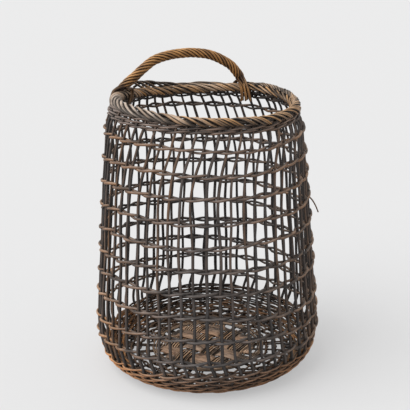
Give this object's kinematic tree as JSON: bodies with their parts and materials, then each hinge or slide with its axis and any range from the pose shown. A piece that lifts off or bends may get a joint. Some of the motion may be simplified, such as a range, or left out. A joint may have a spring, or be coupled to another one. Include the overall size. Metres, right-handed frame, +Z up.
{
  "type": "woven basket",
  "caption": "Tall round open-work basket of twined rods on upright stakes, with a rolled border, a plaited bottom and a fixed roped handle set to one side of the rim.",
  "frame": {"origin": "centre of the foot hoop's underside, on the surface that the basket stands on", "axes": "+Z up along the basket's axis; -Y towards the side shown in the picture, so the handle is at +Y and -X"},
  "size_m": [0.3016, 0.3016, 0.4127],
  "materials": {
    "stake_rod": "weathered, matte",
    "weaver_rod": "dry, satin on top",
    "base_rod": "dry, matte",
    "base_splint": "split wood, matte",
    "border_rod": "worn, satin on top",
    "handle_rod": "worn smooth, satin"
  },
  "bodies": {
    "root": {"stakes_right": "stake_rod", "stakes_back": "stake_rod", "stakes_left": "stake_rod", "stakes_front": "stake_rod", "corner_row_1": "weaver_rod", "corner_row_2": "weaver_rod", "corner_row_3": "weaver_rod", "corner_row_4": "weaver_rod", "wall_row_01_leading_weaver": "weaver_rod", "wall_row_01_following_weaver": "weaver_rod", "wall_row_02_leading_weaver": "weaver_rod", "wall_row_02_following_weaver": "weaver_rod", "wall_row_03_leading_weaver": "weaver_rod", "wall_row_03_following_weaver": "weaver_rod", "wall_row_04_leading_weaver": "weaver_rod", "wall_row_04_following_weaver": "weaver_rod", "wall_row_05_leading_weaver": "weaver_rod", "wall_row_05_following_weaver": "weaver_rod", "wall_row_06_leading_weaver": "weaver_rod", "wall_row_06_following_weaver": "weaver_rod", "wall_row_07_leading_weaver": "weaver_rod", "wall_row_07_following_weaver": "weaver_rod", "wall_row_08_leading_weaver": "weaver_rod", "wall_row_08_following_weaver": "weaver_rod", "wall_row_09_leading_weaver": "weaver_rod", "wall_row_09_following_weaver": "weaver_rod", "wall_row_10_leading_weaver": "weaver_rod", "wall_row_10_following_weaver": "weaver_rod", "neck_row": "weaver_rod", "weaver_tail": "weaver_rod", "foot_hoop": "base_rod", "base_hoop": "base_rod", "base_spokes": "base_rod", "base_row_1": "base_rod", "base_row_2": "base_rod", "base_band_long_1": "base_splint", "base_band_long_2": "base_splint", "base_band_long_3": "base_splint", "base_band_long_4": "base_splint", "base_band_cross_1": "base_splint", "base_band_cross_2": "base_splint", "base_band_cross_3": "base_splint", "base_band_cross_4": "base_splint", "border_core": "border_rod", "border_rods_right": "border_rod", "border_rods_back": "border_rod", "border_rods_left": "border_rod", "border_rods_front": "border_rod", "handle_bow": "handle_rod", "handle_strand_1": "handle_rod", "handle_strand_2": "handle_rod", "handle_strand_3": "handle_rod", "handle_strand_4": "handle_rod"}
  },
  "joints": []
}
